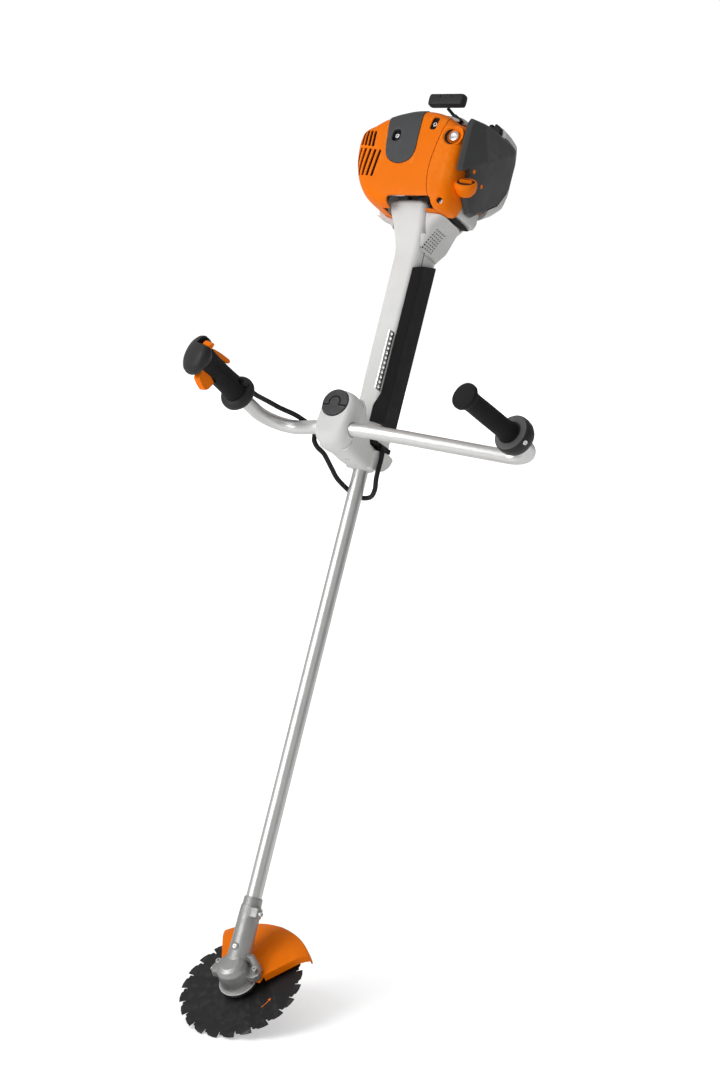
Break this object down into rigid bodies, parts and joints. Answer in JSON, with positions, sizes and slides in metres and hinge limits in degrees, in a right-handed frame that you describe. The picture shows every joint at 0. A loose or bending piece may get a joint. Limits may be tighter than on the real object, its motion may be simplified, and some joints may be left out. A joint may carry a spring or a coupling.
{
  "type": "brush mower",
  "caption": "Petrol brush mower: toothed saw disc with guard on an angled gear head, a long tube, a clamped bar handle with throttle grip, a handle housing and an engine at the top end.",
  "frame": {"origin": "the point on the side of the harness strip from which the machine hangs", "axes": "+Z runs along the drive tube from the cutting head to the engine, -Y is the upper side in use, +X is the operator's left"},
  "size_m": [0.5843, 0.4861, 1.7488],
  "materials": {
    "orange": "satin moulded",
    "black": "fine texture",
    "dark": "fine texture",
    "pale": "satin moulded",
    "rubber": "matte",
    "tube": "satin drawn",
    "cast": "as cast",
    "steel": "bright",
    "blade": "black oxide",
    "paper": "felt"
  },
  "bodies": {
    "machine": {"air_filter": "paper", "blade_guard": "orange", "carburettor": "cast", "clamp_cap": "pale", "clamp_support": "pale", "clutch_housing": "pale", "crankcase": "cast", "cylinder": "cast", "drive_tube": "tube", "filter_cover": "dark", "fuel_tank": "pale", "gearbox_clamp_screw": "steel", "gearbox_housing": "cast", "guard_screw_left": "steel", "guard_screw_right": "steel", "handle_housing_front": "pale", "handle_housing_rear": "pale", "harness_strip": "tube", "leg_pad": "rubber", "muffler": "steel", "plug_cover_screw": "steel", "shaft_bush_lower": "rubber", "shaft_bush_upper": "rubber", "shroud_left": "orange", "shroud_right": "orange", "shroud_screw": "steel", "spark_plug": "steel", "spark_plug_cover": "dark", "starter_housing": "pale", "starter_rope": "rubber", "throttle_cable": "black"},
    "blade_shaft": {"saw_blade": "blade", "thrust_plate": "blade", "rider_plate": "steel", "blade_nut": "steel", "output_shaft": "steel", "output_gear": "steel"},
    "drive_line": {"drive_shaft": "steel", "drive_pinion": "steel", "clutch_drum": "steel"},
    "engine_rotor": {"crankshaft": "steel", "flywheel": "cast", "clutch_shoes": "steel"},
    "bar": {"handlebar": "tube", "left_grip": "rubber", "grip_collar": "black", "grip_screw": "steel", "control_flange": "black", "control_shell_front": "black", "control_shell_rear": "black", "control_head": "black"},
    "trigger": {"throttle_trigger": "orange"},
    "lockout": {"lockout_lever": "orange"},
    "switch": {"stop_switch": "orange"},
    "knob": {"clamp_knob": "black"},
    "choke": {"choke_knob": "black"},
    "valve": {"decompression_valve": "steel"},
    "cap": {"fuel_cap": "black"},
    "pull_grip": {"starter_grip": "black"}
  },
  "joints": [
    {"name": "drive_spin", "type": "hinge", "parent": "machine", "child": "drive_line", "pos_m": [-0.0212, 0.0375, -0.619], "axis": [0, 0, 1], "continuous": true},
    {"name": "blade_spin", "type": "hinge", "parent": "machine", "child": "blade_shaft", "pos_m": [-0.0212, 0.0375, -1.119], "axis": [0, -0.8434, 0.5373], "continuous": true},
    {"name": "engine_spin", "type": "hinge", "parent": "machine", "child": "engine_rotor", "pos_m": [-0.0212, 0.0375, 0.351], "axis": [0, 0, 1], "continuous": true},
    {"name": "bar_tilt", "type": "hinge", "parent": "machine", "child": "bar", "pos_m": [-0.0212, -0.0775, -0.159], "axis": [1, 0, 0], "range_deg": [-20, 25], "deforming": ["throttle_cable"]},
    {"name": "trigger_squeeze", "type": "hinge", "parent": "bar", "child": "trigger", "pos_m": [-0.1632, -0.30934, -0.1426], "axis": [1, 0, 0], "range_deg": [0, 15], "stiffness_Nm_per_rad": 0.05},
    {"name": "lockout_press", "type": "hinge", "parent": "bar", "child": "lockout", "pos_m": [-0.1632, -0.30569, -0.11484], "axis": [1, 0, 0], "range_deg": [-12, 0], "stiffness_Nm_per_rad": 0.05},
    {"name": "switch_slide", "type": "slide", "parent": "bar", "child": "switch", "axis": [1, 0, 0], "range_m": [-0.0035, 0.0035]},
    {"name": "knob_turn", "type": "hinge", "parent": "machine", "child": "knob", "pos_m": [-0.0212, -0.09211, -0.11673], "axis": [0, -0.9914, 0.1305], "range_deg": [0, 720]},
    {"name": "choke_turn", "type": "hinge", "parent": "machine", "child": "choke", "pos_m": [0.0988, -0.0415, 0.336], "axis": [0.184, -0.6711, 0.7181], "range_deg": [0, 90]},
    {"name": "valve_press", "type": "slide", "parent": "machine", "child": "valve", "axis": [0, 1, 0], "range_m": [0, 0.003]},
    {"name": "cap_turn", "type": "hinge", "parent": "machine", "child": "cap", "pos_m": [0.0708, 0.0075, 0.479], "axis": [0, -1, 0], "range_deg": [0, 540]},
    {"name": "starter_pull", "type": "slide", "parent": "machine", "child": "pull_grip", "axis": [-0.7467, -0.1245, 0.6534], "range_m": [0, 0.6], "deforming": ["starter_rope"]}
  ],
  "couplings": [
    {"joint": "blade_spin", "follows": "drive_spin", "ratio": 0.735}
  ]
}
